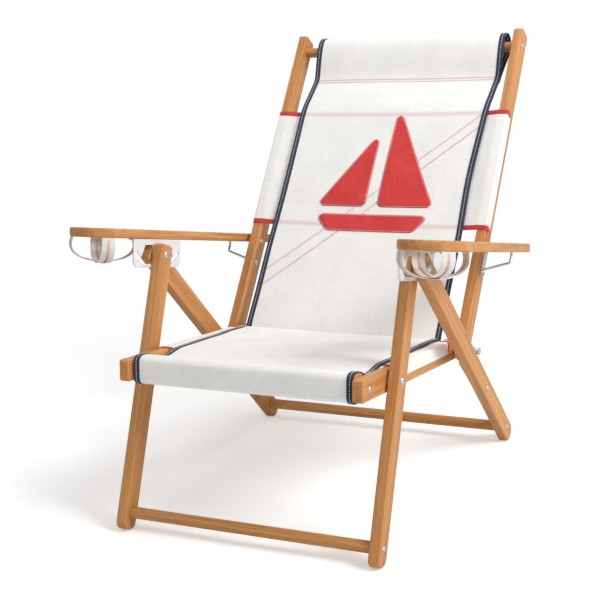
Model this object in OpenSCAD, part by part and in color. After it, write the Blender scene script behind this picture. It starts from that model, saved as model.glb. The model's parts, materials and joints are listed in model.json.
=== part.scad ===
// Folding deck chair with a sling seat, cup straps in the arms and a reclining back.
// Millimetres. +Z up, the chair faces -Y, +X to the viewer's right.
// The side frames lie in four layers on each side: rail, leg and stile, arm bracket, rear leg.

/* [Timber] */
// thickness of the frame timber across the chair
timber_t = 20; // [16:1:26]
// depth of the frame timber in side view
timber_d = 40; // [32:1:50]
// outside width over the front legs
leg_span = 532; // [480:2:600]
// gap between the layers of timber, filled by washers
layer_gap = 4; // [3:0.5:6]
// diameter of the round cross bars
dowel_d = 22; // [18:1:28]
// depth of the blind sockets that hold the cross bars
socket_depth = 8; // [5:1:12]

/* [Side view] */
// place of the front stretcher along Y, so that the origin is under the middle of the chair
front_y = -444.73; // [-520:0.01:-360]
// height of the front stretcher axis
front_stretcher_z = 32; // [26:1:60]
// lean of the front legs from upright
leg_lean = 24.2; // [15:0.1:30]
// front stretcher to the seat pivot along the leg
seat_pivot_at = 290.5; // [250:0.5:330]
// front stretcher to the apex pivot along the leg
apex_at = 493; // [440:1:540]
// fall of the seat rails to the back
rail_slope = 7.5; // [3:0.1:15]
// seat pivot to the front bar along the rail
front_bar_at = 88.5; // [70:0.5:110]
// seat pivot to the back pivot along the rail
back_pivot_at = 344; // [300:1:380]
// lean of the back stiles from upright
back_lean = 37.2; // [25:0.1:45]
// back pivot to the top dowel along the stile
top_dowel_at = 696; // [600:1:760]
// lean of the rear legs from upright
rear_lean = 43.6; // [35:0.1:50]
// apex pivot to the rear stretcher along the rear leg
rear_stretcher_at = 617.8; // [560:0.2:680]
// rear stretcher to the stop plate rivet along the rear leg
plate_rivet_at = 173; // [140:1:200]
// timber beyond the apex and back pivots
end_past_pivot = 20; // [16:1:26]
// rail timber in front of the front bar axis
rail_front = 31.5; // [24:0.5:45]
// stile timber above the top dowel axis
stile_top = 35; // [22:1:45]
// corner radius of the timber ends
end_round = 5; // [3:1:9]
// corner radius of the feet
foot_round = 16; // [8:1:18]
// depth of the flat that is cut from the rounded feet
foot_cut = 1; // [0.5:0.1:2]

/* [Seat bars] */
// thickness of the front bar
front_bar_t = 34; // [26:1:38]
// height of the front bar
front_bar_h = 50; // [42:1:56]
// corner radius of the front bar
front_bar_r = 12; // [6:1:12]
// back pivot to the rear dowel along the rail
rear_dowel_before = 22; // [20:1:40]

/* [Arms] */
// thickness of the arm boards
arm_t = 18; // [14:1:24]
// fall of the arms to the back
arm_slope = 13; // [5:0.1:18]
// radius of the round front end of the arm
paddle_r = 62; // [54:1:75]
// middle of the front end outside the rear legs
paddle_out = 42; // [36:1:70]
// apex pivot to the middle of the front end along the arm
paddle_before = 92; // [80:1:120]
// radius of the rear end of the arm
tail_r = 23; // [18:1:30]
// middle of the rear end outside the rear legs
tail_out = 11; // [8:1:30]
// apex pivot to the middle of the rear end along the arm
tail_after = 508; // [450:1:540]
// radius of the cup hole
cup_hole_r = 40; // [34:1:44]
// distance between the peg holes under the arm
peg_pitch = 10.2; // [8:0.1:15]
// number of peg holes under each arm
peg_holes = 4; // [3:1:6]
// depth of the peg holes
peg_depth = 9; // [6:1:12]

/* [Metal] */
// sheet thickness of the brackets and plates
sheet = 3; // [2:0.5:4]
// half the length of the arm bracket's cheek
bracket_half = 84; // [80:1:100]
// edge below the apex pivot on the arm bracket
bracket_below = 24; // [20:1:30]
// corner radius of the arm bracket
bracket_round = 14; // [6:1:18]
// length of the arm bracket's flange in front of the apex pivot
flange_front = 30; // [20:1:36]
// width of the arm bracket's flange
flange_w = 48; // [36:1:52]
// apex pivot to the slots in the arm bracket
slot_at = 64; // [60:1:68]
// drop of the slots below the apex pivot
slot_drop = 6; // [2:1:8]
// length of the slots in the arm bracket
slot_l = 36; // [24:1:38]
// width of the slots in the arm bracket
slot_w = 9; // [6:0.5:10]
// slant of the slots from upright
slot_tilt = 53; // [40:1:60]
// apex pivot to the near side of the windows in the arm bracket
window_near = 15; // [12:1:20]
// apex pivot to the far side of the windows, at the top
window_far = 44; // [36:1:48]
// slant of the far side of the windows from upright
window_tilt = 28; // [0:1:32]
// edge of the arm bracket below the windows
window_edge = 7; // [5:1:10]
// edge of the arm bracket above the windows
window_over = 8; // [5:1:12]
// rod diameter of the wire brackets
wire_d = 5; // [4:0.5:7]
// extra diameter of the wire at its bends
wire_bend = 0.4; // [0.2:0.1:1]
// back pivot to the wire's upper bend along the stile
wire_at = 205; // [180:1:230]
// drop of the wire's lower end along the stile
wire_drop = 40; // [30:1:55]
// reach of the wire outside the stile
wire_reach = 56; // [44:1:64]
// rise of the wire from its lower bend to its upper bend
wire_rise = 14; // [8:1:20]
// length of the wire's peg above its upper bend
peg_rise = 8.5; // [5:0.5:14]
// pivot bolt diameter
bolt_d = 8; // [6:1:10]
// pivot bolt head diameter
head_d = 16; // [12:1:20]
// pivot bolt head and nut thickness
head_t = 5; // [3:0.5:7]
// screw diameter
screw_d = 5; // [4:0.5:6]
// screw head diameter
screw_head_d = 11; // [8:0.5:13]
// screw head thickness
screw_head_t = 2.5; // [1.5:0.5:3]
// screw length in the cross bar
screw_grip = 26; // [16:1:40]
// length of the arm bracket's screws
bracket_screw_l = 11; // [8:1:14]
// washer diameter at the pivots
washer_d = 24; // [18:1:30]
// width of the plate that holds the wire bracket on the stile
wire_plate_w = 18; // [16:1:24]
// diameter of the spacer behind the rear leg
stop_d = 16; // [12:0.5:16]
// end of the spacer inside the outer face of the rear leg
stop_inset = 2; // [0:0.5:5]
// length of the stop plate from its rivet to its front end
plate_l = 126; // [100:1:132]
// slant of the stop plate from upright
plate_lean = 45.5; // [42:0.5:52]
// radius of the stop plate at its rivet
plate_tail_r = 13; // [10:1:16]
// radius of the stop plate at its front end
plate_nose_r = 16; // [12:1:18]

/* [Cloth] */
// thickness of the sling cloth
sling_t = 2; // [1.5:0.1:3]
// width of the sling
sling_w = 438; // [400:2:440]
// thickness of the sleeves over the timber
sleeve_t = 1.3; // [1:0.1:2]
// seat pivot to the front edge of the seat sleeve
seat_sleeve_from = 18; // [16:1:40]
// seat pivot to the rear edge of the seat sleeve
seat_sleeve_to = 306; // [270:1:308]
// back pivot to the lower edge of the back sleeve
back_sleeve_from = 252; // [230:1:300]
// back pivot to the upper edge of the back sleeve
back_sleeve_to = 530; // [480:1:580]
// depth of the sleeves' flaps on the outer faces of the timber
flap_cover = 23; // [12:1:36]
// width of the cup straps
strap_w = 25; // [20:1:30]
// thickness of the cup straps
strap_t = 1.6; // [1:0.1:2.5]
// half the width of the strap loops under the arm
strap_r = 60; // [50:1:61]
// depth of the outer strap loop under the arm
strap_drop = 48; // [40:1:60]
// turn of the strap loops from the line across the arm
strap_turn = 45; // [30:1:60]
// inner radius of the sling's loop
loop_r = 19; // [18:0.5:24]
// middle of the loop above the top dowel
loop_up = 11; // [6:0.5:11]
// middle of the loop behind the top dowel
loop_back = 2.5; // [0:0.5:3]
// length of the sling's loop below the top dowel
loop_drop = 72; // [50:1:90]
// place of the loop's seam behind the middle of the stiles
seam_n = 4; // [0:0.5:8]
// front bar to the low point of the seat's sheet
dip_after = 58; // [40:1:70]
// drop of the seat's sheet behind the front bar
dip = 9; // [2:0.5:12]
// distance of the sling from the stiles at the crook
crook_sag = 7; // [5:1:16]
// drop of the seat's sheet between its sleeve and the crook
crook_drop = 4; // [0:0.5:8]
// lower end of the back's sheet above the back pivot along the stile
crook_open = 12; // [10:1:24]

/* [Fits] */
// radial play of the pivot bolts
pivot_play = 0.05; // [0.02:0.01:0.1]
// radial play of the glued and screwed joints
seat_play = 0.04; // [0.02:0.01:0.1]
// play between parts that pass each other
pass_gap = 0.4; // [0.3:0.1:1]
// play of the cloth round the timber
cloth_gap = 0.2; // [0.1:0.1:0.5]

/* [Hidden] */
$fn = 48;
eps = 1;
teak = [0.72, 0.50, 0.29];
cloth = [0.93, 0.92, 0.89];
steel = [0.70, 0.71, 0.73];
paint = [0.86, 0.87, 0.88];
nylon = [0.92, 0.92, 0.90];

// layers across the chair, inner and outer faces
leg_out = leg_span / 2;
leg_in = leg_out - timber_t;
rail_out = leg_in - layer_gap;
rail_in = rail_out - timber_t;
rear_in = leg_out + layer_gap;
rear_out = rear_in + timber_t;
cheek_in = leg_out + (layer_gap - sheet) / 2;
cheek_out = cheek_in + sheet;

// pivots in side view, as [y, z]
function along(p, a, d) = [p[0] + d * sin(a), p[1] + d * cos(a)];
front_at = [front_y, front_stretcher_z];
seat_pivot = along(front_at, leg_lean, seat_pivot_at);
apex = along(front_at, leg_lean, apex_at);
rail_dir = 90 + rail_slope;
front_bar = along(seat_pivot, rail_dir, -front_bar_at);
back_pivot = along(seat_pivot, rail_dir, back_pivot_at);
rear_dowel = along(back_pivot, rail_dir, -rear_dowel_before);
top_dowel_c = along(back_pivot, back_lean, top_dowel_at);
rear_dir = 180 - rear_lean;
rear_at = along(apex, rear_dir, rear_stretcher_at);
plate_rivet = along(rear_at, rear_dir, -plate_rivet_at);
// leg below the stretcher, so that the rounded foot dips under the floor by foot_cut
function below_floor(z, a) =
  foot_round + (z + foot_cut - foot_round - (timber_d / 2 - foot_round) * sin(a)) / cos(a);

// the wire's upper bend and the arm that rests on its peg
wire_c = along(back_pivot, back_lean, wire_at);
wire_below = arm_t / 2 + peg_rise + pass_gap;
arm_dir = 90 + arm_slope;
wire_rel = [wire_c[0] - apex[0], wire_c[1] - apex[1]];
arm_rise = wire_below + wire_rel[0] * sin(arm_slope) + wire_rel[1] * cos(arm_slope);
wire_along = wire_rel[0] * cos(arm_slope) - wire_rel[1] * sin(arm_slope);
arm_under = arm_rise - arm_t / 2;
upper_bolt_at = wire_at + wire_d / 2 + head_d / 2 + eps;
lower_bolt_at = wire_at - wire_drop;

// the arm's outline: two circles and their outer tangents
paddle_x = rear_out + paddle_out;
tail_x = rear_out + tail_out;
paddle_c = [paddle_x, -paddle_before];
tail_c = [tail_x, tail_after];
arm_axis = tail_c - paddle_c;
arm_l = norm(arm_axis);
arm_turn = atan2(arm_axis[1], arm_axis[0]);
arm_taper = acos((paddle_r - tail_r) / arm_l);
function rim(c, r, a) = [c[0] + r * cos(a), c[1] + r * sin(a)];

// places a child drawn in side view, 2D x along Y and 2D y along Z, between two X planes
module slab(from, to)
  translate([from, 0, 0])
  rotate([90, 0, 90])
  linear_extrude(to - from)
  children();

// turns a child so that its 2D y runs from point p in direction a from upright
module lay(p, a)
  translate(p)
  rotate(-a)
  children();

// a flat bar in 2D, centred on the y axis, with rounded ends
module bar2d(from, to, w, r)
{
  translate([-w / 2, from + r])
    square([w, to - from - 2 * r]);
  translate([r - w / 2, from])
    square([w - 2 * r, to - from]);
  for (x = [r - w / 2, w / 2 - r])
    for (y = [from + r, to - r])
      translate([x, y])
        circle(r);
}

// a cylinder along X between two X planes round a point in side view
module rod_x(p, from, to, d)
  translate([from, p[0], p[1]])
  rotate([0, 90, 0])
  cylinder(d = d, h = to - from);

// one copy on each side of the chair
module both()
{
  children();
  mirror([1, 0, 0])
    children();
}

module left()
  mirror([1, 0, 0])
  children();

// a leg's outline with a rounded foot that stands on a small flat
module leg2d(p, a, below, above)
  intersection()
  {
    lay(p, a)
    {
      bar2d(-below, above / 2, timber_d, foot_round);
      bar2d(0, above, timber_d, end_round);
    }
    translate([p[0] - above, 0])
      square(2 * above);
  }

module front_leg()
  color(teak)
  difference()
  {
    slab(leg_in, leg_out)
      leg2d(front_at, leg_lean, below_floor(front_at[1], leg_lean), apex_at + end_past_pivot);
    rod_x(apex, leg_in - eps, leg_out + eps, bolt_d + 2 * pivot_play);
    rod_x(seat_pivot, leg_in - eps, leg_out + eps, bolt_d + 2 * pivot_play);
    rod_x(front_at, leg_in - eps, leg_in + socket_depth, dowel_d + 2 * seat_play);
    rod_x(front_at, leg_in, leg_out + eps, screw_d + 2 * seat_play);
  }

module rear_leg()
  color(teak)
  difference()
  {
    slab(rear_in, rear_out)
      leg2d(rear_at, -rear_lean, below_floor(rear_at[1], rear_lean), rear_stretcher_at + end_past_pivot);
    rod_x(apex, rear_in - eps, rear_out + eps, bolt_d + 2 * pivot_play);
    rod_x(rear_at, rear_in - eps, rear_in + socket_depth, dowel_d + 2 * seat_play);
    rod_x(rear_at, rear_in, rear_out + eps, screw_d + 2 * seat_play);
    rod_x(plate_rivet, rear_in - eps, rear_out + eps, screw_d + 2 * seat_play);
  }

module seat_rail()
  color(teak)
  difference()
  {
    slab(rail_in, rail_out)
      lay(seat_pivot, rail_dir)
      bar2d(-front_bar_at - rail_front, back_pivot_at + end_past_pivot, timber_d, end_round);
    rod_x(seat_pivot, rail_in - eps, rail_out + eps, bolt_d + 2 * pivot_play);
    rod_x(back_pivot, rail_in - eps, rail_out + eps, bolt_d + 2 * pivot_play);
    rod_x(front_bar, rail_in - eps, rail_out + eps, screw_d + 2 * seat_play);
    rod_x(rear_dowel, rail_in - eps, rail_in + socket_depth, dowel_d + 2 * seat_play);
  }

module back_stile()
  color(teak)
  difference()
  {
    slab(leg_in, leg_out)
      lay(back_pivot, back_lean)
      bar2d(-end_past_pivot, top_dowel_at + stile_top, timber_d, end_round);
    rod_x(back_pivot, leg_in - eps, leg_out + eps, bolt_d + 2 * pivot_play);
    rod_x(top_dowel_c, leg_in - eps, leg_in + socket_depth, dowel_d + 2 * seat_play);
    rod_x(top_dowel_c, leg_in, leg_out + eps, screw_d + 2 * seat_play);
    for (t = [lower_bolt_at, upper_bolt_at])
      rod_x(along(back_pivot, back_lean, t), leg_in - eps, leg_out + eps, screw_d + 2 * seat_play);
  }

// a round cross bar with pilot holes for its end screws
module cross_bar(p, reach)
  color(teak)
  difference()
  {
    rod_x(p, -reach, reach, dowel_d);
    both()
      rod_x(p, reach - screw_grip - eps, reach + eps, screw_d + 2 * seat_play);
  }

// a screw from outside through the timber into a cross bar
module cross_screw(p, out, tip)
  color(steel)
  {
    rod_x(p, out, out + screw_head_t, screw_head_d);
    rod_x(p, tip, out + screw_head_t, screw_d);
  }

module front_stretcher() cross_bar(front_at, leg_in + socket_depth);
module front_stretcher_screws()
  both() cross_screw(front_at, leg_out, leg_in + socket_depth - screw_grip);
module rear_stretcher() cross_bar(rear_at, rear_in + socket_depth);
module rear_stretcher_screws()
  both() cross_screw(rear_at, rear_out, rear_in + socket_depth - screw_grip);
module top_dowel() cross_bar(top_dowel_c, leg_in + socket_depth);
module top_dowel_screws()
  both() cross_screw(top_dowel_c, leg_out, leg_in + socket_depth - screw_grip);
module seat_rear_dowel()
  color(teak)
  rod_x(rear_dowel, -rail_in - socket_depth, rail_in + socket_depth, dowel_d);

module seat_front_bar()
  color(teak)
  difference()
  {
    slab(-rail_in, rail_in)
      lay(front_bar, rail_slope)
      bar2d(-front_bar_h / 2, front_bar_h / 2, front_bar_t, front_bar_r);
    both()
      rod_x(front_bar, rail_in - screw_grip - eps, rail_in + eps, screw_d + 2 * seat_play);
  }
module seat_front_bar_screws()
  both() cross_screw(front_bar, rail_out, rail_in - screw_grip);

// a plate on the rear leg's inner face that reaches forward under the back pivot
plate_nose = along(plate_rivet, -plate_lean, plate_l);
plate_side = 90 - plate_lean;
module stop_plate()
  color(steel)
  difference()
  {
    slab(rear_in - sheet + pass_gap, rear_in)
    {
      translate(plate_rivet)
        circle(plate_tail_r);
      translate(plate_nose)
        circle(plate_nose_r);
      polygon([
        along(plate_rivet, plate_side, plate_tail_r), along(plate_nose, plate_side, plate_nose_r),
        along(plate_nose, plate_side, -plate_nose_r), along(plate_rivet, plate_side, -plate_tail_r)]);
    }
    rod_x(plate_rivet, rear_in - 2 * sheet, rear_in + eps, screw_d + 2 * seat_play);
  }
module stop_plate_rivets()
  color(steel)
  both()
  {
    rod_x(plate_rivet, rear_out, rear_out + screw_head_t, screw_head_d);
    rod_x(plate_rivet, rear_in - sheet + pass_gap, rear_out + eps, screw_d);
  }

// a pivot bolt with its head at the end away from the nut
module pivot_bolt(p, head_from, head_to, tip)
  color(steel)
  {
    rod_x(p, head_from, head_to, head_d);
    rod_x(p, min(head_from, tip), max(head_to, tip), bolt_d);
  }
module pivot_ring(p, from, to, d)
  difference()
  {
    rod_x(p, from, to, d);
    rod_x(p, from - eps, to + eps, bolt_d + 2 * pivot_play);
  }

module seat_pivot_bolts()
  both() pivot_bolt(seat_pivot, leg_out, leg_out + head_t / 2, rail_in - head_t);
module seat_pivot_washers()
  color(nylon) both() pivot_ring(seat_pivot, rail_out, leg_in, washer_d);
module seat_pivot_nuts()
  color(steel) both() pivot_ring(seat_pivot, rail_in - head_t, rail_in, head_d);
stop_out = rear_out - stop_inset;
module back_pivot_bolts()
  both() pivot_bolt(back_pivot, rail_in - head_t / 2, rail_in, stop_out + head_t);
module back_pivot_washers()
  color(nylon) both() pivot_ring(back_pivot, rail_out, leg_in, washer_d);
// the spacer and its nut get a flat where the rear leg comes closer than their rims
module beside_rear_leg()
  difference()
  {
    children();
    slab(leg_out, rear_out + head_t)
      lay(apex, rear_dir)
      translate([-timber_d / 2 - pass_gap / 2, 0])
      square([timber_d + pass_gap, rear_stretcher_at]);
  }
module back_pivot_spacers()
  color(nylon) both() beside_rear_leg() pivot_ring(back_pivot, leg_out, stop_out, stop_d);
module back_pivot_nuts()
  color(steel) both() beside_rear_leg()
    pivot_ring(back_pivot, stop_out, stop_out + head_t, stop_d - pass_gap);
module apex_bolt()
  color(steel)
  {
    rod_x(apex, leg_in - head_t / 2, leg_in, head_d);
    rod_x(apex, leg_in - head_t / 2, rear_out + head_t, bolt_d);
    rod_x(apex, rear_out, rear_out + head_t, head_d);
  }

// the bent wire that carries the arm, with the flat plate that is bolted to the stile
module wire_run(p, x1, q, x2)
{
  a = [x1, p[0], p[1]];
  d = [x2, q[0], q[1]] - a;
  translate(a)
    rotate([0, acos(d[2] / norm(d)), atan2(d[1], d[0])])
    cylinder(d = wire_d, h = norm(d));
}
module wire_knee(p, x)
  translate([x, p[0], p[1]])
  sphere(d = wire_d + wire_bend);
wire_low = along(back_pivot, back_lean, lower_bolt_at + head_d / 2);
wire_out = along(wire_c, back_lean, -wire_rise);
peg_x = leg_out + wire_reach;
peg_top = along(wire_c, arm_slope, peg_rise);
module wire_bracket()
  color(steel)
  {
    difference()
    {
      slab(leg_out, leg_out + sheet)
        lay(back_pivot, back_lean)
        bar2d(lower_bolt_at - head_d / 2, upper_bolt_at + head_d / 2, wire_plate_w, head_d / 2);
      for (t = [lower_bolt_at, upper_bolt_at])
        rod_x(along(back_pivot, back_lean, t), leg_out - eps, leg_out + 2 * sheet, screw_d + 2 * seat_play);
    }
    wire_run(wire_c, peg_x, peg_top, peg_x);
    wire_knee(wire_c, peg_x);
    wire_run(wire_c, peg_x, wire_out, peg_x);
    wire_knee(wire_out, peg_x);
    wire_run(wire_low, leg_out + sheet / 2, wire_out, peg_x);
  }
module wire_bracket_bolts()
  color(steel)
  both()
  for (t = [lower_bolt_at, upper_bolt_at])
  {
    rod_x(along(back_pivot, back_lean, t), leg_in - screw_head_t, leg_in, screw_head_d);
    rod_x(along(back_pivot, back_lean, t), leg_in - screw_head_t, leg_out + 2 * sheet, screw_d);
  }
module wire_bracket_nuts()
  color(steel)
  both()
  for (t = [lower_bolt_at, upper_bolt_at])
    difference()
    {
      rod_x(along(back_pivot, back_lean, t), leg_out + sheet, leg_out + 2 * sheet, screw_head_d);
      rod_x(along(back_pivot, back_lean, t), leg_out, leg_out + 3 * sheet, screw_d + 2 * seat_play);
    }

// the arm's own frame: X across, Y along the arm from the apex, Z square to the arm
module on_arm()
  translate([0, apex[0], apex[1]])
  rotate([-arm_slope, 0, 0])
  children();
module arm2d()
{
  translate(paddle_c)
    circle(paddle_r);
  translate(tail_c)
    circle(tail_r);
  polygon([
    rim(paddle_c, paddle_r, arm_turn + arm_taper), rim(paddle_c, paddle_r, arm_turn - arm_taper),
    rim(tail_c, tail_r, arm_turn - arm_taper), rim(tail_c, tail_r, arm_turn + arm_taper)]);
}
flange_from = cheek_in;
bracket_screw_x = cheek_out + flange_w - screw_head_d - sheet / 2;
bracket_screw_y = [screw_head_d - flange_front, (bracket_half - flange_front) / 2, bracket_half - screw_head_d];
module arm()
  color(teak)
  on_arm()
  difference()
  {
    translate([0, 0, arm_under])
      linear_extrude(arm_t)
      arm2d();
    translate([paddle_c[0], paddle_c[1], arm_under - eps])
      cylinder(r = cup_hole_r, h = arm_t + 2 * eps);
    for (y = bracket_screw_y)
      translate([bracket_screw_x, y, arm_under - eps])
        cylinder(d = screw_d + 2 * seat_play, h = bracket_screw_l + eps);
    for (i = [0 : peg_holes - 1])
      translate([peg_x, wire_along + i * peg_pitch, arm_under - eps])
        cylinder(d = wire_d + 2 * pass_gap, h = peg_depth + eps);
  }
module arm_bracket()
  color(paint)
  on_arm()
  difference()
  {
    union()
    {
      translate([flange_from, -flange_front, arm_under - sheet])
        cube([sheet + flange_w, flange_front + bracket_half, sheet]);
      translate([cheek_in, 0, 0])
        rotate([90, 0, 90])
        linear_extrude(sheet)
        cheek2d();
    }
    translate([cheek_in - eps, 0, 0])
      rotate([0, 90, 0])
      cylinder(d = bolt_d + 2 * pivot_play, h = sheet + 2 * eps);
    for (y = bracket_screw_y)
      translate([bracket_screw_x, y, arm_under - 2 * sheet])
        cylinder(d = screw_d + 2 * seat_play, h = 3 * sheet);
  }
// the bracket's upright cheek in side view, with a window and a slanted slot towards each end
window_top = arm_under - sheet - window_over;
window_low = window_edge - bracket_below;
window_foot = window_far + (window_top + slot_drop) * tan(window_tilt);
module cheek2d()
  difference()
  {
    union()
    {
      translate([-bracket_half, bracket_round - bracket_below])
        square([2 * bracket_half, arm_under + bracket_below - bracket_round]);
      translate([bracket_round - bracket_half, -bracket_below])
        square([2 * bracket_half - 2 * bracket_round, 2 * bracket_round]);
      for (y = [bracket_round - bracket_half, bracket_half - bracket_round])
        translate([y, bracket_round - bracket_below])
          circle(bracket_round);
    }
    for (s = [-1, 1])
    {
      translate([s * slot_at, -slot_drop])
        rotate(-s * slot_tilt)
        bar2d(-slot_l / 2, slot_l / 2, slot_w, slot_w / 3);
      polygon([[s * window_near, window_top], [s * window_far, window_top],
        [s * window_foot, -slot_drop], [s * window_foot, window_low], [s * window_near, window_low]]);
    }
  }
module arm_bracket_screws()
  color(steel)
  on_arm()
  for (y = bracket_screw_y)
    translate([bracket_screw_x, y, arm_under - sheet])
    {
      cylinder(d = screw_d, h = bracket_screw_l);
      translate([0, 0, -screw_head_t])
        cylinder(d = screw_head_d, h = screw_head_t);
    }

// half the outline of a strap loop, as an ellipse
module loop2d(r, drop)
  scale([1, drop / r])
  circle(r);
// a webbing loop that hangs under the cup hole, turned to one diagonal of the arm
module cup_strap(r, drop, turn)
  color(cloth)
  on_arm()
  translate([paddle_c[0], paddle_c[1], arm_under])
  rotate([0, 0, turn])
  intersection()
  {
    translate([0, strap_w / 2, 0])
      rotate([90, 0, 0])
      linear_extrude(strap_w)
      difference()
      {
        loop2d(r, drop);
        loop2d(r - strap_t, drop - strap_t);
      }
    translate([-2 * r, -strap_w, -2 * r])
      cube([4 * r, 2 * strap_w, 2 * r]);
  }
// the inner loop passes under the outer one over the width of their crossing
strap_cross = strap_w / 2 * (1 + abs(cos(2 * strap_turn))) / sin(2 * strap_turn);
strap_inner_drop =
  (strap_drop - strap_t) * sqrt(1 - pow(strap_cross / (strap_r - strap_t), 2)) - pass_gap;

// the sling's side profile: 2D x towards the sitter, 2D y along the timber
wrap_r = front_bar_r + cloth_gap;
sling_top = timber_d / 2 + cloth_gap + sleeve_t + pass_gap;
crook_at = back_pivot_at - rear_dowel_before;
lap = sling_t / 4;
bar_top = front_bar_h / 2 + cloth_gap;
bar_edge = front_bar_t / 2 - front_bar_r - front_bar_at;
dip_at = dip_after - front_bar_at;
sheet_on = seat_sleeve_from - sling_t;
module sling_seat()
  color(cloth)
  slab(-sling_w / 2, sling_w / 2)
  {
    lay(front_bar, rail_slope)
      difference()
      {
        bar2d(-front_bar_h / 2 - sling_t - cloth_gap, front_bar_h / 2 + sling_t + cloth_gap,
          front_bar_t + 2 * sling_t + 2 * cloth_gap, wrap_r + sling_t);
        bar2d(-front_bar_h / 2 - cloth_gap, front_bar_h / 2 + cloth_gap,
          front_bar_t + 2 * cloth_gap, wrap_r);
      }
    lay(seat_pivot, rail_slope)
      polygon([
        [bar_edge, bar_top + lap], [dip_at, sling_top - dip], [sheet_on, sling_top],
        [seat_sleeve_to, sling_top], [crook_at, sling_top - crook_drop],
        [crook_at, sling_top - crook_drop + sling_t], [seat_sleeve_to, sling_top + sling_t],
        [sheet_on, sling_top + sling_t], [dip_at, sling_top - dip + sling_t],
        [bar_edge, bar_top + sling_t - lap]]);
  }
seam_at = top_dowel_at - loop_drop;
// the loop over the top dowel: a half ring and two straight sheets that meet at the seam
module sling_loop2d()
{
  translate([loop_back, loop_up])
    difference()
    {
      circle(loop_r + sling_t);
      circle(loop_r);
      translate([-2 * loop_r, -2 * loop_r])
        square([4 * loop_r, 2 * loop_r - lap]);
    }
  for (s = [-1, 1])
    polygon([[loop_back + s * (loop_r + lap), loop_up], [loop_back + s * (loop_r + sling_t + lap), loop_up],
      [seam_n + s * sling_t, -loop_drop], [seam_n, -loop_drop]]);
}
module sling_back()
  color(cloth)
  {
    slab(-sling_w / 2, sling_w / 2)
      lay(top_dowel_c, back_lean)
      sling_loop2d();
    slab(-sling_w / 2, sling_w / 2)
      lay(back_pivot, back_lean)
      polygon([
        [seam_n + sling_t, seam_at + sling_t], [seam_n + sling_t / 2, seam_at - sling_t],
        [-sling_top, back_sleeve_to], [-sling_top, back_sleeve_from],
        [-sling_top - crook_sag, crook_open], [-sling_top - crook_sag - sling_t, crook_open],
        [-sling_top - sling_t, back_sleeve_from], [-sling_top - sling_t, back_sleeve_to],
        [seam_n - sling_t, seam_at + sling_t]]);
  }

// a cloth sleeve over both sides of the frame, with a flap on each outer face
module sleeve(out, from, to)
{
  w = 2 * (out + cloth_gap);
  face = -timber_d / 2 - cloth_gap;
  difference()
  {
    translate([-w / 2 - sleeve_t, face - sleeve_t, from])
      cube([w + 2 * sleeve_t, sleeve_t + cloth_gap + flap_cover, to - from]);
    translate([-w / 2, face, from - eps])
      cube([w, timber_d, to - from + 2 * eps]);
  }
}
module seat_sleeve()
  color(cloth)
  translate([0, seat_pivot[0], seat_pivot[1]])
  rotate([-rail_dir, 0, 0])
  sleeve(rail_out, seat_sleeve_from, seat_sleeve_to);
module back_sleeve()
  color(cloth)
  translate([0, back_pivot[0], back_pivot[1]])
  rotate([-back_lean, 0, 0])
  sleeve(leg_out, back_sleeve_from, back_sleeve_to);

module front_leg_left() left() front_leg();
module front_leg_right() front_leg();
module rear_leg_left() left() rear_leg();
module rear_leg_right() rear_leg();
module stop_plate_left() left() stop_plate();
module stop_plate_right() stop_plate();
module seat_rail_left() left() seat_rail();
module seat_rail_right() seat_rail();
module back_stile_left() left() back_stile();
module back_stile_right() back_stile();
module wire_bracket_left() left() wire_bracket();
module wire_bracket_right() wire_bracket();
module apex_bolt_left() left() apex_bolt();
module apex_bolt_right() apex_bolt();
module arm_left() left() arm();
module arm_right() arm();
module arm_bracket_left() left() arm_bracket();
module arm_bracket_right() arm_bracket();
module arm_bracket_screws_left() left() arm_bracket_screws();
module arm_bracket_screws_right() arm_bracket_screws();
module cup_strap_outer_left() left() cup_strap(strap_r, strap_drop, strap_turn);
module cup_strap_outer_right() cup_strap(strap_r, strap_drop, strap_turn);
module cup_strap_inner_left() left() cup_strap(strap_r, strap_inner_drop, -strap_turn);
module cup_strap_inner_right() cup_strap(strap_r, strap_inner_drop, -strap_turn);

front_leg_left();
front_leg_right();
front_stretcher();
front_stretcher_screws();
rear_leg_left();
rear_leg_right();
rear_stretcher();
rear_stretcher_screws();
stop_plate_left();
stop_plate_right();
stop_plate_rivets();
seat_rail_left();
seat_rail_right();
seat_front_bar();
seat_front_bar_screws();
seat_rear_dowel();
seat_pivot_bolts();
seat_pivot_washers();
seat_pivot_nuts();
back_pivot_bolts();
back_pivot_washers();
back_pivot_spacers();
back_pivot_nuts();
back_stile_left();
back_stile_right();
top_dowel();
top_dowel_screws();
wire_bracket_left();
wire_bracket_right();
wire_bracket_bolts();
wire_bracket_nuts();
apex_bolt_left();
apex_bolt_right();
arm_left();
arm_bracket_left();
arm_bracket_screws_left();
cup_strap_outer_left();
cup_strap_inner_left();
arm_right();
arm_bracket_right();
arm_bracket_screws_right();
cup_strap_outer_right();
cup_strap_inner_right();
sling_seat();
sling_back();
seat_sleeve();
back_sleeve();
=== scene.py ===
import json
from math import acos, atan2, cos, hypot, pi, radians, sin, sqrt, tan

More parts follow.
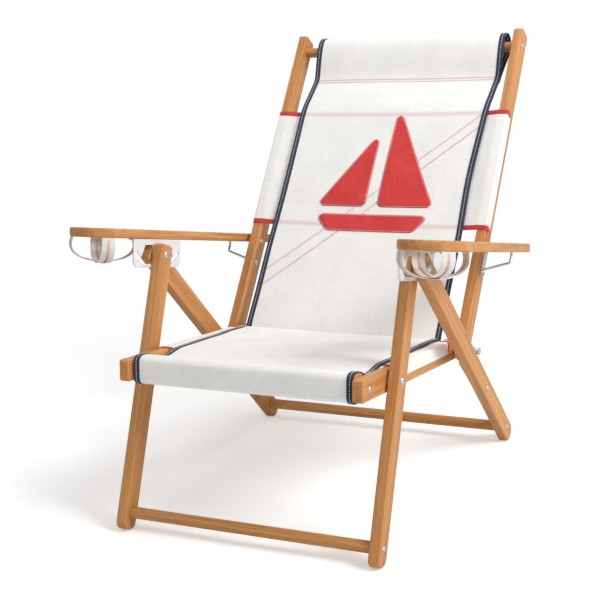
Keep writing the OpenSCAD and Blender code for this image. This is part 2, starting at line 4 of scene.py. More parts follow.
import bpy
from mathutils import Matrix, Vector
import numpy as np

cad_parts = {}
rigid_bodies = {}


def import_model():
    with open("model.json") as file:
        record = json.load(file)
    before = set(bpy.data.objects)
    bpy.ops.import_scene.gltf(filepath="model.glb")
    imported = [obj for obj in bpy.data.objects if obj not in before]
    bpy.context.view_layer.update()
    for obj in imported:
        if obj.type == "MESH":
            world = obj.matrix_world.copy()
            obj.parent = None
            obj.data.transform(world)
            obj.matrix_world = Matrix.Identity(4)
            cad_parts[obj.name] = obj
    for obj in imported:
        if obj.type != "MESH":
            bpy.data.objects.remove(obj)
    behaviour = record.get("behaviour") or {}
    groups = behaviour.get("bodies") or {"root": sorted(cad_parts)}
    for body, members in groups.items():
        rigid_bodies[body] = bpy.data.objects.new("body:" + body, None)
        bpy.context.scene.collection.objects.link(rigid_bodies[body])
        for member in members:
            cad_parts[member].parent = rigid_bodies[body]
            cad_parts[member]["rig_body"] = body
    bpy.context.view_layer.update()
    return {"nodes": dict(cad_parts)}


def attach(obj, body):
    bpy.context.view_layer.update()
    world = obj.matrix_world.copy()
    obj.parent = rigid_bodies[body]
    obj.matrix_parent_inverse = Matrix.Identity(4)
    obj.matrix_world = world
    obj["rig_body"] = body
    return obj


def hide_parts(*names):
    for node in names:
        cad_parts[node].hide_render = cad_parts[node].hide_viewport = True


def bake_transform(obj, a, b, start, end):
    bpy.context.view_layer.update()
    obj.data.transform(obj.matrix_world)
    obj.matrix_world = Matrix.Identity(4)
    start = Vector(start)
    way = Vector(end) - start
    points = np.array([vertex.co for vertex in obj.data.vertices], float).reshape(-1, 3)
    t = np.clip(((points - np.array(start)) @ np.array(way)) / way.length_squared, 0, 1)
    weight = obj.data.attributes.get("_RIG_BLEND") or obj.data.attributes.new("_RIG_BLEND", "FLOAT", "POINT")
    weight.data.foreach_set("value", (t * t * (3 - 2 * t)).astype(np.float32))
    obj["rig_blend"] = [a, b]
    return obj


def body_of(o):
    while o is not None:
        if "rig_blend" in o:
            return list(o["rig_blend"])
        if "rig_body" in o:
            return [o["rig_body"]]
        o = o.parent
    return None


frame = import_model()

# Folding deck chair: teak frame, white sling with navy edges, white sleeves with red edges.
# Lengths are in millimetres until a piece is made. Side view points are (y, z).
MM = 0.001
SIDES = {"left": -1, "right": 1}


def along(p, lean, d):
    """The side view point at distance d from p, in a direction that leans from upright."""
    a = radians(lean)
    return (p[0] + d * sin(a), p[1] + d * cos(a))


# The frame's sizes, as in the part's source.
TIMBER_T, TIMBER_D, END_R, FOOT_R, EASE = 20, 40, 5, 16, 2.6
RAIL_IN, RAIL_OUT, LEG_IN, LEG_OUT, REAR_IN, REAR_OUT = 222, 242, 246, 266, 270, 290
CHEEK_IN, SHEET, FLANGE_W = 266.5, 3, 48
LEG_LEAN, RAIL_SLOPE, BACK_LEAN, REAR_LEAN, ARM_SLOPE = 24.2, 7.5, 37.2, 43.6, 13
FRONT_FOOT, FRONT_TOP, REAR_FOOT, REAR_TOP, RAIL_END, STILE_END = 32.84, 513, 38.81, 637.8, 31.5, 35
DOWEL_R, SOCKET = 11, 8
BAR_HALF_T, BAR_HALF_D, BAR_R = 17, 25, 12
FRONT_AT = (-444.73, 32)
SEAT_PIVOT = along(FRONT_AT, LEG_LEAN, 290.5)
APEX = along(FRONT_AT, LEG_LEAN, 493)
FRONT_BAR_AT, BACK_PIVOT_AT, TOP_DOWEL_AT = 88.5, 344, 696
FRONT_BAR = along(SEAT_PIVOT, 90 + RAIL_SLOPE, -FRONT_BAR_AT)
BACK_PIVOT = along(SEAT_PIVOT, 90 + RAIL_SLOPE, BACK_PIVOT_AT)
REAR_DOWEL = along(BACK_PIVOT, 90 + RAIL_SLOPE, -22)
TOP_DOWEL = along(BACK_PIVOT, BACK_LEAN, TOP_DOWEL_AT)
REAR_AT = along(APEX, 180 - REAR_LEAN, 617.8)
PLATE_RIVET = along(REAR_AT, 180 - REAR_LEAN, -173)
WIRE_AT, WIRE_R, WIRE_BEND, WIRE_REACH, WIRE_RISE, PEG_RISE = 205, 2.5, 6, 56, 14, 8.5
LOWER_BOLT_AT, UPPER_BOLT_AT, BOLT_EDGE, WIRE_PLATE_W = 165, 216.5, 8, 18
PLATE_R, NOSE_R, PLATE_L, PLATE_TURN, PLATE_T = 13, 16, 126, -45.5, 2.6
BRACKET_HALF, BRACKET_BELOW, BRACKET_R, FLANGE_FRONT, FLANGE_SCREW_X = 84, 24, 14, 30, 305
PIVOT_R, SCREW_R, PIVOT_BORE, WASHER_R, WASHER_T, SPACER_R, SPACER_L = 4, 2.5, 4.05, 12, 4, 8, 22
ARM_T, ARM_UNDER = 18, 30.21
PADDLE, PADDLE_R, TAIL, TAIL_R, CUP_R = (332, -92), 62, (301, 508), 23, 40
# Webbing and cloth.
STRAP_HALF, STRAP_UP = 12.5, 0.8
SLING_HALF, SLING_UP, CLOTH_T, WRAP_UP = 219, 22.9, 0.8, 1.1
BINDING_HALF, BINDING_UP = 6.2, 1.6
SEAT_SLEEVE, BACK_SLEEVE = (18, 306), (252, 530)


# Finishes

def srgb(code):
    """A colour written as sRGB hex, as the linear colour that a shader takes."""
    parts = [int(code[i:i + 2], 16) / 255 for i in (1, 3, 5)]
    return [c / 12.92 if c <= 0.04045 else ((c + 0.055) / 1.055) ** 2.4 for c in parts] + [1]


def add(mat, kind, inputs=(), **settings):
    """Adds a node with its settings, or takes the tree's own node of that name.
    An input takes a value or another node's socket."""
    made = mat.node_tree.nodes.get(kind) or mat.node_tree.nodes.new(kind)
    for name, value in settings.items():
        setattr(made, name, value)
    for key, value in dict(inputs).items():
        if isinstance(value, bpy.types.NodeSocket):
            mat.node_tree.links.new(value, made.inputs[key])
        else:
            made.inputs[key].default_value = value
    return made


def finish(name):
    """A new material with its Principled shader, ready for more nodes."""
    mat = bpy.data.materials.new(name)
    mat.use_nodes = True
    return mat


def oiled_teak():
    # Planed and oiled teak: honey brown with straight darker streaks, short open pores and a satin skin.
    mat = finish("oiled_teak")
    where = add(mat, "ShaderNodeTexCoord").outputs["Object"]
    # Growth bands about 14 mm across, streaks 2.4 mm wide and 130 mm long, pores 1.1 mm by 14 mm.
    # Real pores are a quarter of that, too fine to show here.
    grain = []
    for size, inputs in (((0.014, 0.42, 0.014), {"Detail": 2, "Distortion": 0.7}),
                         ((0.0024, 0.13, 0.0024), {"Detail": 3, "Roughness": 0.6}),
                         ((0.0011, 0.014, 0.0011), {"Detail": 1})):
        spread = add(mat, "ShaderNodeMapping", {"Vector": where, "Scale": [1 / d for d in size]})
        grain.append(add(mat, "ShaderNodeTexNoise", {"Vector": spread.outputs[0], "Scale": 1, **inputs}).outputs[0])
    growth, streak, pore = grain
    pore = add(mat, "ShaderNodeMapRange", {"Value": pore, 1: 0.62, 2: 0.74, 3: 0, 4: 0.55}).outputs[0]
    tone = add(mat, "ShaderNodeMix", {0: 0.55, 2: growth, 3: streak}, data_type="FLOAT")
    colour = add(mat, "ShaderNodeValToRGB", {0: tone.outputs[0]})
    ramp = colour.color_ramp.elements
    ramp[0].position, ramp[0].color = 0.3, srgb("#A2662E")
    ramp[1].position, ramp[1].color = 0.72, srgb("#DBA567")
    ramp.new(0.5).color = srgb("#C4874A")
    colour = add(mat, "ShaderNodeMix", {0: pore, 6: colour.outputs[0], 7: srgb("#86501F")}, data_type="RGBA")
    rough = add(mat, "ShaderNodeMapRange", {"Value": streak, 1: 0.3, 2: 0.7, 3: 0.42, 4: 0.58})
    height = add(mat, "ShaderNodeMath", {0: streak, 1: pore}, operation="SUBTRACT")
    bump = add(mat, "ShaderNodeBump", {"Strength": 0.25, "Distance": 0.0004, "Height": height.outputs[0]})
    add(mat, "Principled BSDF", {"IOR": 1.48, "Base Color": colour.outputs[2], "Roughness": rough.outputs[0],
                                 "Normal": bump.outputs[0]})
    return mat


def woven_cloth(name, code, shade, yarn, rough, lines=(), show_through_code=None):
    # Woven polyester: matt, with slubs along both thread directions and a faint fuzz at grazing light.
    # Threads are near 0.5 mm, drawn two to three times coarser so that they show.
    mat = finish(name)
    where = add(mat, "ShaderNodeUVMap", uv_map="cut").outputs[0]
    slubs = []
    for size in ((yarn, 22 * yarn, 1), (22 * yarn, yarn, 1)):
        spread = add(mat, "ShaderNodeMapping", {"Vector": where, "Scale": [1 / d for d in size]})
        slubs.append(add(mat, "ShaderNodeTexNoise", {"Vector": spread.outputs[0], "Scale": 1, "Detail": 2}).outputs[0])
    weave = add(mat, "ShaderNodeMath", {0: slubs[0], 1: slubs[1]}, operation="ADD")
    # Soft lighter and darker patches, about 70 mm across: painted shade of the gentle folds left by handling and
    # folding.
    painted_fold_shade = add(mat, "ShaderNodeTexNoise", {"Vector": where, "Scale": 1 / 0.07, "Detail": 2})
    mixed = add(mat, "ShaderNodeMath", {0: weave.outputs[0], 1: painted_fold_shade.outputs[0]}, operation="ADD")
    tone = add(mat, "ShaderNodeMapRange", {"Value": mixed.outputs[0], 1: 1.15, 2: 1.85, 3: 0, 4: 1})
    colour = add(mat, "ShaderNodeMix", {0: tone.outputs[0], 6: srgb(shade), 7: srgb(code)}, data_type="RGBA").outputs[2]
    # Soft lines of painted show-through: a tint where something behind the cloth would show through it with light
    # passing through.
    if lines:
        run = add(mat, "ShaderNodeSeparateXYZ", {0: where}).outputs["Y"]
        for at, half, strength in lines:
            off = add(mat, "ShaderNodeMath", {0: run, 1: at * MM}, operation="SUBTRACT")
            off = add(mat, "ShaderNodeMath", {0: off.outputs[0]}, operation="ABSOLUTE")
            near = add(mat, "ShaderNodeMapRange", {"Value": off.outputs[0], 1: 0, 2: half * MM, 3: strength, 4: 0},
                       interpolation_type="SMOOTHSTEP")
            colour = add(mat, "ShaderNodeMix", {0: near.outputs[0], 6: colour, 7: srgb(show_through_code)},
                         data_type="RGBA").outputs[2]
    bump = add(mat, "ShaderNodeBump", {"Strength": 0.22, "Distance": 0.0006, "Height": weave.outputs[0]})
    add(mat, "Principled BSDF", {"Roughness": rough, "Sheen Weight": 0.12, "Specular IOR Level": 0.3,
                                 "Base Color": colour, "Normal": bump.outputs[0]})
    return mat


def ribbed_tape(name, code, shade, rib):
    # Woven tape: fine ribs across its width that catch the light in turn. Its colour is also lighter on each rib and
    # darker between ribs, painted shade of the ribs, broken up by a random fray.
    mat = finish(name)
    where = add(mat, "ShaderNodeUVMap", uv_map="cut").outputs[0]
    # A wave of scale 1 repeats about every 0.314 units, so ribs of real width come from that.
    ribs = add(mat, "ShaderNodeTexWave", {"Vector": where, "Scale": 0.314 / rib, "Distortion": 0.4, "Detail": 1},
               bands_direction="Y")
    fray = add(mat, "ShaderNodeTexNoise", {"Vector": where, "Scale": 1 / 0.004, "Detail": 2})
    # Painted rib shade: the colour darkens between the ribs, times a random fray.
    tone = add(mat, "ShaderNodeMath", {0: ribs.outputs["Fac"], 1: fray.outputs[0]}, operation="MULTIPLY")
    colour = add(mat, "ShaderNodeMix", {0: tone.outputs[0], 6: srgb(shade), 7: srgb(code)}, data_type="RGBA")
    bump = add(mat, "ShaderNodeBump", {"Strength": 0.35, "Distance": 0.0005, "Height": ribs.outputs["Fac"]})
    add(mat, "Principled BSDF", {"Roughness": 0.7, "Sheen Weight": 0.15, "Specular IOR Level": 0.3,
                                 "Base Color": colour.outputs[2], "Normal": bump.outputs[0]})
    return mat


def hard_finish(name, code, shade, metallic, rough_low, rough_high, grit, height):
    # A hard surface whose gloss and tone vary over grit-sized spots.
    mat = finish(name)
    where = add(mat, "ShaderNodeTexCoord").outputs["Object"]
    spots = add(mat, "ShaderNodeTexNoise", {"Vector": where, "Scale": 1 / grit, "Detail": 3})
    colour = add(mat, "ShaderNodeMix", {0: spots.outputs[0], 6: srgb(shade), 7: srgb(code)}, data_type="RGBA")
    rough = add(mat, "ShaderNodeMapRange", {"Value": spots.outputs[0], 1: 0.3, 2: 0.7, 3: rough_low, 4: rough_high})
    bump = add(mat, "ShaderNodeBump", {"Strength": 0.2, "Distance": height, "Height": spots.outputs[0]})
    add(mat, "Principled BSDF", {"Metallic": metallic, "Base Color": colour.outputs[2], "Roughness": rough.outputs[0],
                                 "Normal": bump.outputs[0]})
    return mat


TEAK = oiled_teak()
# Zinc-plated steel: pale grey metal with a soft, slightly clouded gloss.
ZINC = hard_finish("zinc_plated_steel", "#D3D5D6", "#A9ADB0", 1, 0.26, 0.42, 0.004, 0.00005)
# Powder-coated plate: pale grey, satin, with the fine peel of a baked coat.
PAINT = hard_finish("powder_coated_plate", "#E4E6E8", "#D6D9DC", 0, 0.4, 0.52, 0.0016, 0.00012)
# Moulded nylon: milky white with a dull gloss.
NYLON = hard_finish("moulded_nylon", "#ECEAE4", "#DCD9D1", 0, 0.38, 0.5, 0.006, 0.00006)
WEBBING = ribbed_tape("polyester_webbing", "#F6F4EF", "#DAD7D0", 0.0024)
NAVY_TAPE = ribbed_tape("navy_binding_tape", "#3A4462", "#1B2238", 0.002)
RED_TAPE = ribbed_tape("red_binding_tape", "#E0524C", "#B92B2E", 0.002)
SLEEVE_CLOTH = woven_cloth("sleeve_cloth", "#F7F6F3", "#EAE9E6", 0.0011, 0.78)
RED_CLOTH = woven_cloth("red_applique_cloth", "#DE4543", "#C2302F", 0.0013, 0.7)
# Sewing thread: glossy twist that stands on the cloth.
WHITE_THREAD = hard_finish("white_sewing_thread", "#F4F2EC", "#D9D7D2", 0, 0.45, 0.6, 0.0008, 0.00004)
RED_THREAD = hard_finish("red_sewing_thread", "#D9605B", "#B8403F", 0, 0.45, 0.6, 0.0008, 0.00004)


# Forms: (points, faces, cut) in millimetres

def shifted(x, y, z):
    return Matrix.Translation((x, y, z))


def moved(form, matrix):
    points, faces, cut = form
    return [matrix @ Vector(p) for p in points], faces, cut


def rounded(points, radius, steps=6):
    """The closed outline with each corner rounded."""
    out = []
    for i, p in enumerate(points):
        p, before, after = Vector(p), Vector(points[i - 1]), Vector(points[(i + 1) % len(points)])
        r = radius[i] if isinstance(radius, list) else radius
        a, b = (before - p).normalized(), (after - p).normalized()
        half = a.angle(b) / 2
        reach = r / tan(half)
        start, end = p + a * reach, p + b * reach
        centre = p + (a + b).normalized() * (r / sin(half))
        for k in range(steps + 1):
            out.append(tuple(centre + (start - centre).slerp(end - centre, k / steps) * r))
    return out


def arc(c, r, first, sweep, steps):
    """Points round c from the angle first through sweep, both ends included."""
    angles = [first + sweep * k / steps for k in range(steps + 1)]
    return [(c[0] + r * cos(a), c[1] + r * sin(a)) for a in angles]


def circle(c, r, steps):
    return arc(c, r, 0, 2 * pi, steps)[:-1]


def link_outline(p, rp, q, rq, steps_p, steps_q):
    """The outline round two circles and the straight edges between them."""
    dx, dy = q[0] - p[0], q[1] - p[1]
    turn, taper = atan2(dy, dx), acos((rp - rq) / hypot(dx, dy))
    return arc(p, rp, turn + taper, 2 * (pi - taper), steps_p) + arc(q, rq, turn - taper, 2 * taper, steps_q)


def grid(rows, columns):
    """The faces of a sheet with that many rows and columns."""
    n = columns + 1
    return [(k, k + 1, k + 1 + n, k + n) for i in range(0, rows * n, n) for k in range(i, i + columns)]


def tube(rows, n, closed=False):
    """The faces of a tube from rows of n points, with flat ends unless it closes on itself."""
    faces = []
    for i in range(rows if closed else rows - 1):
        a, b = i * n, (i + 1) % rows * n
        faces += [(a + k, a + (k + 1) % n, b + (k + 1) % n, b + k) for k in range(n)]
    return faces if closed else faces + [tuple(range(n))[::-1], tuple(range((rows - 1) * n, rows * n))]


def band(half, up, radius, steps):
    """The rounded section of a tape or bar, from -half to half and from -up to up."""
    return rounded([(-half, -up), (half, -up), (half, up), (-half, up)], radius, steps)


def bar_outline(low, high, width, r_low, r_high):
    w = width / 2
    return rounded([(-w, low), (w, low), (w, high), (-w, high)], [r_low, r_low, r_high, r_high])


def cut_below(outline, height_of):
    """The outline without the part where height_of(point) is negative, and without slivers just above it."""
    out, sliver = [], 0.8
    for p, q in zip(outline, outline[1:] + outline[:1]):
        hp, hq = height_of(p), height_of(q)
        if hp > sliver:
            out.append(p)
        if hp * hq < 0:
            k = hp / (hp - hq)
            out.append((p[0] + k * (q[0] - p[0]), p[1] + k * (q[1] - p[1])))
    return out


def put(name, data):
    """A new object in the scene."""
    obj = bpy.data.objects.new(name, data)
    bpy.context.collection.objects.link(obj)
    return obj


def board(loops, thick, ease):
    """A flat board with eased edges: the first loop is its outline, the others are holes."""
    curve = bpy.data.curves.new("board", "CURVE")
    curve.dimensions, curve.fill_mode = "2D", "BOTH"
    curve.extrude, curve.bevel_depth, curve.offset, curve.bevel_resolution = thick / 2 - ease, ease, -ease, 3
    for i, loop in enumerate(loops):
        area = sum(p[0] * q[1] - q[0] * p[1] for p, q in zip(loop, loop[1:] + loop[:1]))
        loop = loop if (area > 0) == (i == 0) else loop[::-1]
        spline = curve.splines.new("POLY")
        spline.points.add(len(loop) - 1)
        for point, p in zip(spline.points, loop):
            point.co = (p[0], p[1], 0, 1)
        spline.use_cyclic_u = True
    holder = put("board", curve)
    mesh = bpy.data.meshes.new_from_object(holder.evaluated_get(bpy.context.evaluated_depsgraph_get()))
    form = [v.co.copy() for v in mesh.vertices], [tuple(f.vertices) for f in mesh.polygons], None
    bpy.data.objects.remove(holder)
    bpy.data.curves.remove(curve)
    bpy.data.meshes.remove(mesh)
    return form


def turned(profile, steps=36, hexagon=False, closed=False):
    """A turned form about local Z from (radius, height) pairs; hexagon gives it six flats outside its bore."""
    points, sixth = [], pi / 6
    for r, z in profile:
        for k in range(steps):
            a = 2 * pi * k / steps
            flat = cos(sixth) / cos((a + sixth) % (2 * sixth) - sixth)
            s = r * flat if hexagon and r > 4.5 else r
            points.append((s * cos(a), s * sin(a), z))
    return points, tube(len(profile), steps, closed), None


def heading(path, i):
    """The direction of a path at its point i."""
    return (path[min(i + 1, len(path) - 1)] - path[max(i - 1, 0)]).normalized()


def lengths_along(path):
    """The distance along a path at each of its points."""
    out = [0.0]
    for p, q in zip(path, path[1:]):
        out.append(out[-1] + (q - p).length)
    return out


def swept(path, section, across):
    """A closed section swept along path; across(i) gives the section's two axes at path point i."""
    points, cut = [], []
    for i, run in enumerate(lengths_along(path)):
        side, up = across(i)
        for u, v in section:
            points.append(path[i] + side * u + up * v)
            cut.append((u, run))
    faces = tube(len(path), len(section))
    side, up = across(0)
    if side.cross(up).dot(path[1] - path[0]) < 0:
        faces = [face[::-1] for face in faces]
    return points, faces, cut


def thread(path, radius, sides):
    """A round thread or rod along a path."""
    axes, side = [], None
    for i in range(len(path)):
        d = heading(path, i)
        side = d.orthogonal().normalized() if side is None else (side - d * side.dot(d)).normalized()
        axes.append((side, d.cross(side)))
    return swept(path, circle((0, 0), radius, sides), lambda i: axes[i])


def dashes(path, up, length, gap, radius):
    """A row of stitches on a path; up gives the cloth's normal at each path point."""
    forms, start, lengths = [], 0.0, lengths_along(path)

    def at(s):
        k = next((j for j in range(1, len(lengths)) if lengths[j] >= s), len(lengths) - 1)
        f = (s - lengths[k - 1]) / max(lengths[k] - lengths[k - 1], 1e-6)
        return path[k - 1].lerp(path[k], f), up[k - 1].lerp(up[k], f).normalized()

    while start + length < lengths[-1]:
        (a, ua), (m, um), (b, ub) = at(start), at(start + length / 2), at(start + length)
        crown = um * radius * 0.4
        stitch = [a - ua * radius, m.lerp(a, 0.6) + crown, m.lerp(b, 0.6) + crown, b - ub * radius]
        forms.append(thread(stitch, radius, 4))
        start += length + gap
    return forms


def filleted(points, radius, steps):
    """An open path with rounded bends."""
    points = [Vector(p) for p in points]
    out = [points[0]]
    for before, p, after in zip(points, points[1:], points[2:]):
        a, b = (before - p).normalized(), (after - p).normalized()
        half = a.angle(b) / 2
        reach = min(radius / tan(half), (before - p).length / 2, (after - p).length / 2)
        centre = p + (a + b).normalized() * (reach * tan(half) / sin(half))
        start, end = p + a * reach - centre, p + b * reach - centre
        out += [centre + start.slerp(end, k / steps) * start.length for k in range(steps + 1)]
    return out + [points[-1]]


def piece(name, forms, material, nodes=(), place=None, body=None, bends=None, thick=None, sharp=38):
    """One piece of the chair from its forms. It rides on its node's body, or bends across a joint."""
    points, faces, cut = [], [], []
    for p, f, c in forms:
        faces += [tuple(i + len(points) for i in face) for face in f]
        points += p
        cut += c or [(0, 0)] * len(p)
    mesh = bpy.data.meshes.new(name)
    mesh.from_pydata([Vector(p) * MM for p in points], [], faces)
    layer = mesh.uv_layers.new(name="cut")
    for loop in mesh.loops:
        layer.data[loop.index].uv = (cut[loop.vertex_index][0] * MM, cut[loop.vertex_index][1] * MM)
    mesh.shade_smooth()
    mesh.set_sharp_from_angle(angle=radians(sharp))
    mesh.materials.append(material)
    obj = put(name, mesh)
    if place is not None:
        obj.matrix_world = shifted(*place.translation * MM) @ place.to_3x3().to_4x4()
    if thick:
        shell = obj.modifiers.new("cloth_thickness", "SOLIDIFY")
        shell.thickness, shell.offset = thick * MM, 0
    if bends:
        a, b, start, end = bends
        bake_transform(obj, a, b, start=Vector(start) * MM, end=Vector(end) * MM)
    else:
        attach(obj, body or body_of(frame["nodes"][nodes[0]])[0])
    if nodes:
        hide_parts(*nodes)
    return obj


# Places

def side_place(p, lean, x, shift=0):
    """Local X square to the timber in side view, local Y along it, local Z across the chair.
    shift moves the local origin, so that each timber shows another part of the grain."""
    a = radians(lean)
    turn = Matrix(((0, 0, 1, x), (cos(a), sin(a), 0, p[0]), (-sin(a), cos(a), 0, p[1]), (0, 0, 0, 1)))
    return turn @ shifted(0, 0, -shift)


def pin_place(p, x, way):
    """Local Z along the chair's X in direction way."""
    return Matrix(((0, 0, way, x), (1, 0, 0, p[0]), (0, way, 0, p[1]), (0, 0, 0, 1)))


ARM_PLACE = shifted(0, *APEX) @ Matrix.Rotation(radians(-ARM_SLOPE), 4, "X")
ARM_SIDE = Matrix(((0, 0, 1, 0), (1, 0, 0, 0), (0, 1, 0, 0), (0, 0, 0, 1)))
LAY_DOWN = Matrix.Rotation(radians(-90), 4, "X")


def timber(name, node, p, lean, outline, x, shift):
    form = moved(board([outline], TIMBER_T, EASE), shifted(0, 0, shift))
    piece(name, [form], TEAK, [node], side_place(p, lean, x, shift))


def leg_outline(p, lean, low, high):
    a = radians(lean)
    outline = bar_outline(-low, high, TIMBER_D, FOOT_R, END_R)
    return cut_below(outline, lambda q: p[1] - q[0] * sin(a) + q[1] * cos(a))


def round_bar(name, node, p, reach, shift):
    """A round cross bar with eased ends, its grain along its length."""
    r, c = DOWEL_R, 1.5
    profile = [(r - c, -reach), (r, c - reach), (r, -reach / 3), (r, reach / 3), (r, reach - c), (r - c, reach)]
    form = moved(turned(profile, 40), shifted(0, 0, shift) @ LAY_DOWN)
    place = Matrix(((0, 1, 0, 0), (1, 0, 0, p[0]), (0, 0, -1, p[1]), (0, 0, 0, 1)))
    piece(name, [form], TEAK, [node], place @ shifted(0, 0, -shift))


# Timber

for side, s in SIDES.items():
    grain = 130 if s > 0 else 0
    timber(f"leg_front_{side}", f"front_leg_{side}", FRONT_AT, LEG_LEAN,
           leg_outline(FRONT_AT, LEG_LEAN, FRONT_FOOT, FRONT_TOP), s * (LEG_IN + LEG_OUT) / 2, 90 + grain)
    timber(f"leg_rear_{side}", f"rear_leg_{side}", REAR_AT, -REAR_LEAN,
           leg_outline(REAR_AT, -REAR_LEAN, REAR_FOOT, REAR_TOP), s * (REAR_IN + REAR_OUT) / 2, 370 + grain)
    timber(f"rail_seat_{side}", f"seat_rail_{side}", SEAT_PIVOT, 90 + RAIL_SLOPE,
           bar_outline(-FRONT_BAR_AT - RAIL_END, BACK_PIVOT_AT + TIMBER_D / 2, TIMBER_D, END_R, END_R),
           s * (RAIL_IN + RAIL_OUT) / 2, 640 + grain)
    timber(f"stile_back_{side}", f"back_stile_{side}", BACK_PIVOT, BACK_LEAN,
           bar_outline(-TIMBER_D / 2, TOP_DOWEL_AT + STILE_END, TIMBER_D, END_R, END_R),
           s * (LEG_IN + LEG_OUT) / 2, 930 + grain)

round_bar("stretcher_front", "front_stretcher", FRONT_AT, LEG_IN + SOCKET, 50)
round_bar("stretcher_rear", "rear_stretcher", REAR_AT, REAR_IN + SOCKET, 110)
round_bar("dowel_top", "top_dowel", TOP_DOWEL, LEG_IN + SOCKET, 170)
round_bar("dowel_seat_rear", "seat_rear_dowel", REAR_DOWEL, RAIL_IN + SOCKET, 230)
# The front bar lies across: its outline is its section, so its grain runs along local Y after the turn.
section = board([band(BAR_HALF_T, BAR_HALF_D, BAR_R, 6)], 2 * RAIL_IN, 0.5)
piece("bar_seat_front", [moved(section, LAY_DOWN)], TEAK, ["seat_front_bar"],
      side_place(FRONT_BAR, RAIL_SLOPE, 0) @ LAY_DOWN.inverted())


# Arms

SCREW_HEAD = [(2.5, -9), (2.5, 0), (5.5, 0), (5.35, 0.9), (4.6, 1.7), (3.2, 2.3), (2.1, 2.45), (1.7, 1.1), (0.2, 1.0)]
BOLT_HEAD = [(4, -6), (4, 0), (8, 0), (7.8, 0.9), (6.8, 1.8), (5, 2.35), (3.4, 2.5), (3, 0.9), (0.3, 0.8)]
DEEP_HEAD = [(4, -6), (4, 0), (8, 0), (8, 2.2), (7.4, 3.6), (5.8, 4.6), (3.6, 5), (3, 3), (0.3, 2.9)]
NUT = [(4.02, 0), (7.4, 0), (8, 0.6), (8, 3.6), (7.3, 4.6), (5.2, 5), (4.3, 4.9), (4.1, 4)]
SMALL_NUT = [(2.5, 0), (5.1, 0), (5.5, 0.4), (5.5, 2.2), (5, 3), (2.6, 3)]


def ring(inner, outer, height, ease=0.5):
    return turned([(inner, 0), (outer - ease, 0), (outer, ease), (outer, height - ease), (outer - ease, height),
                   (inner, height)], closed=True)


